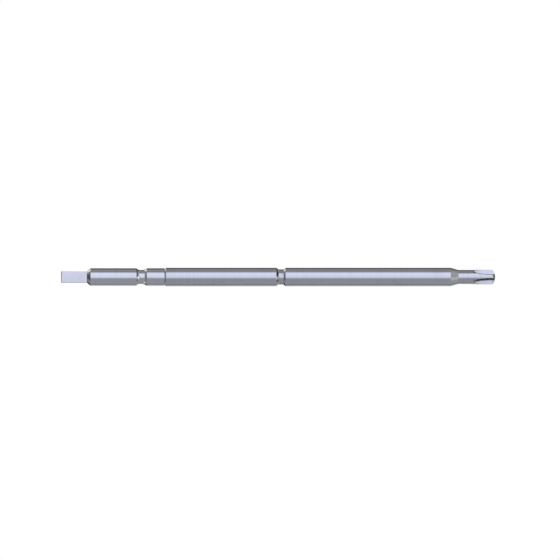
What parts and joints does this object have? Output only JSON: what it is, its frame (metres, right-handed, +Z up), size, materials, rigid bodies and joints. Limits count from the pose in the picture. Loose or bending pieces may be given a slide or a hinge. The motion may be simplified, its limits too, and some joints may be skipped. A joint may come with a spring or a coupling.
{
  "type": "screwdriver blade",
  "caption": "Slender steel screwdriver blade with a half-moon tang, detent groove, free-turning finger sleeve, long barrel, cone nose and cross tip.",
  "frame": {"origin": "on the blade's axis, at the middle of the 4 mm ground shank that the driver's chuck grips", "axes": "+X along the blade towards the cross tip, +Z up, the flat of the half-moon tang faces -Y"},
  "size_m": [0.098, 0.0042, 0.0042],
  "materials": {
    "ground_steel": "centreless-ground bright steel with very fine lines round the axis",
    "hardened_steel": "hardened and ground, satin",
    "tip_steel": "hardened tool steel, turned neck and milled flutes, bright",
    "bronze": "sintered bronze, oiled"
  },
  "bodies": {
    "blade": {"drive_shank": "ground_steel", "rear_thrust_washer": "hardened_steel", "spindle": "hardened_steel", "thrust_collar": "hardened_steel", "front_barrel": "ground_steel", "blade_tip": "tip_steel"},
    "sleeve": {"finger_sleeve": "ground_steel", "rear_bush": "bronze", "front_bush": "bronze"}
  },
  "joints": [
    {"name": "sleeve_spin", "type": "hinge", "parent": "blade", "child": "sleeve", "pos_m": [0.02444, 0, 0], "axis": [1, 0, 0], "continuous": true}
  ]
}
